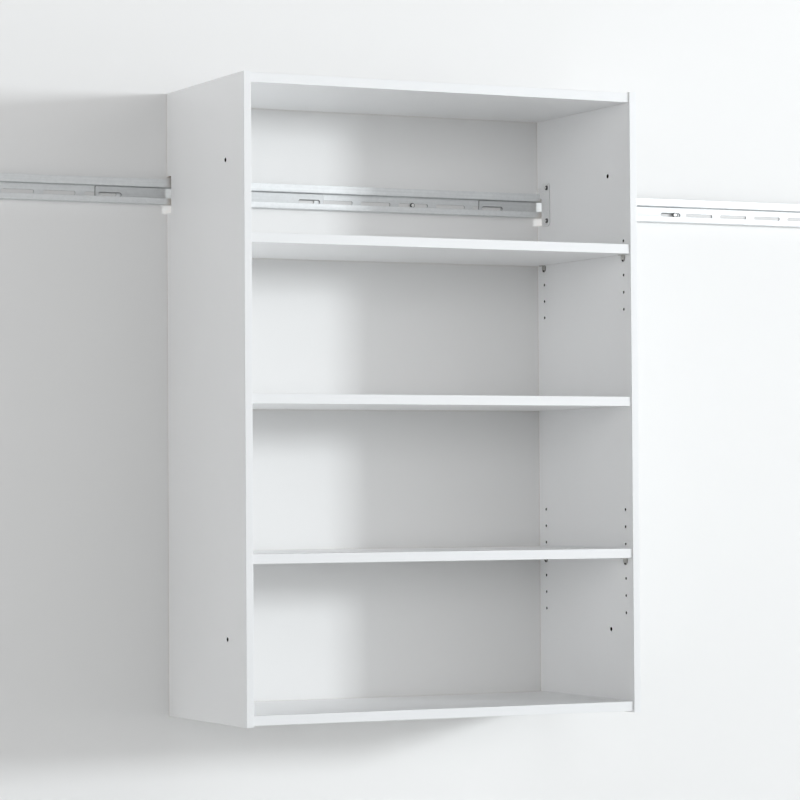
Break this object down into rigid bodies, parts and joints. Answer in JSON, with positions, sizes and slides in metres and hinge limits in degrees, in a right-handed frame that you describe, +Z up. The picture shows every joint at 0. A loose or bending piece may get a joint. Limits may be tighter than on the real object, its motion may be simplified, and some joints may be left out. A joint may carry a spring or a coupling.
{
  "type": "wall mounted closet shelf tower",
  "caption": "Open-backed white shelf tower hung by hook brackets on a slotted steel wall rail, with fixed boards and shelves that move to other pin holes.",
  "frame": {"origin": "on the rail's back face, which lies on the wall, on the flat web just above its slots, in the middle of the shelf tower", "axes": "+Y into the wall, +X along the rail to the right as seen from the room, +Z up"},
  "size_m": [1.839, 0.363, 1.152],
  "materials": {
    "white_board": "white melamine on chipboard, satin, with banded front edges",
    "rail_steel": "galvanised sheet, satin",
    "sleeve_steel": "galvanised sheet, satin",
    "bracket_steel": "zinc plated",
    "screw_steel": "zinc plated",
    "pin_nickel": "nickel plated",
    "cam_zinc": "die-cast zinc, plain"
  },
  "bodies": {
    "rail": {"rail_section_left": "rail_steel", "rail_section_centre": "rail_steel", "rail_section_right": "rail_steel", "joiner_sleeve_left": "sleeve_steel", "joiner_sleeve_right": "sleeve_steel", "wall_screw_left_end": "screw_steel", "wall_screw_centre": "screw_steel", "wall_screw_right": "screw_steel", "wall_screw_right_end": "screw_steel"},
    "tower": {"side_panel_left": "white_board", "side_panel_right": "white_board", "top_board": "white_board", "middle_shelf": "white_board", "bottom_board": "white_board", "hook_bracket_left": "bracket_steel", "bracket_screw_left_lower": "screw_steel", "bracket_screw_left_upper": "screw_steel", "hook_bracket_right": "bracket_steel", "bracket_screw_right_lower": "screw_steel", "bracket_screw_right_upper": "screw_steel", "shelf_pin_upper_left_front": "pin_nickel", "shelf_pin_upper_left_rear": "pin_nickel", "shelf_pin_upper_right_front": "pin_nickel", "shelf_pin_upper_right_rear": "pin_nickel", "shelf_pin_lower_left_front": "pin_nickel", "shelf_pin_lower_left_rear": "pin_nickel", "shelf_pin_lower_right_front": "pin_nickel", "shelf_pin_lower_right_rear": "pin_nickel", "cam_lock_bottom_left_front": "cam_zinc", "cam_bolt_bottom_left_front": "cam_zinc", "cam_lock_bottom_left_rear": "cam_zinc", "cam_bolt_bottom_left_rear": "cam_zinc", "cam_lock_bottom_right_front": "cam_zinc", "cam_bolt_bottom_right_front": "cam_zinc", "cam_lock_bottom_right_rear": "cam_zinc", "cam_bolt_bottom_right_rear": "cam_zinc", "cam_lock_middle_left_front": "cam_zinc", "cam_bolt_middle_left_front": "cam_zinc", "cam_lock_middle_left_rear": "cam_zinc", "cam_bolt_middle_left_rear": "cam_zinc", "cam_lock_middle_right_front": "cam_zinc", "cam_bolt_middle_right_front": "cam_zinc", "cam_lock_middle_right_rear": "cam_zinc", "cam_bolt_middle_right_rear": "cam_zinc", "cam_lock_top_left_front": "cam_zinc", "cam_bolt_top_left_front": "cam_zinc", "cam_lock_top_left_rear": "cam_zinc", "cam_bolt_top_left_rear": "cam_zinc", "cam_lock_top_right_front": "cam_zinc", "cam_bolt_top_right_front": "cam_zinc", "cam_lock_top_right_rear": "cam_zinc", "cam_bolt_top_right_rear": "cam_zinc"},
    "upper_shelf": {"upper_adjustable_shelf": "white_board"},
    "lower_shelf": {"lower_adjustable_shelf": "white_board"}
  },
  "joints": [
    {"name": "tower_along_rail", "type": "slide", "parent": "rail", "child": "tower", "axis": [1, 0, 0], "range_m": [-0.4, 0.6]},
    {"name": "upper_shelf_out", "type": "slide", "parent": "tower", "child": "upper_shelf", "axis": [0, -1, 0], "range_m": [0, 0.36]},
    {"name": "lower_shelf_out", "type": "slide", "parent": "tower", "child": "lower_shelf", "axis": [0, -1, 0], "range_m": [0, 0.36]}
  ]
}
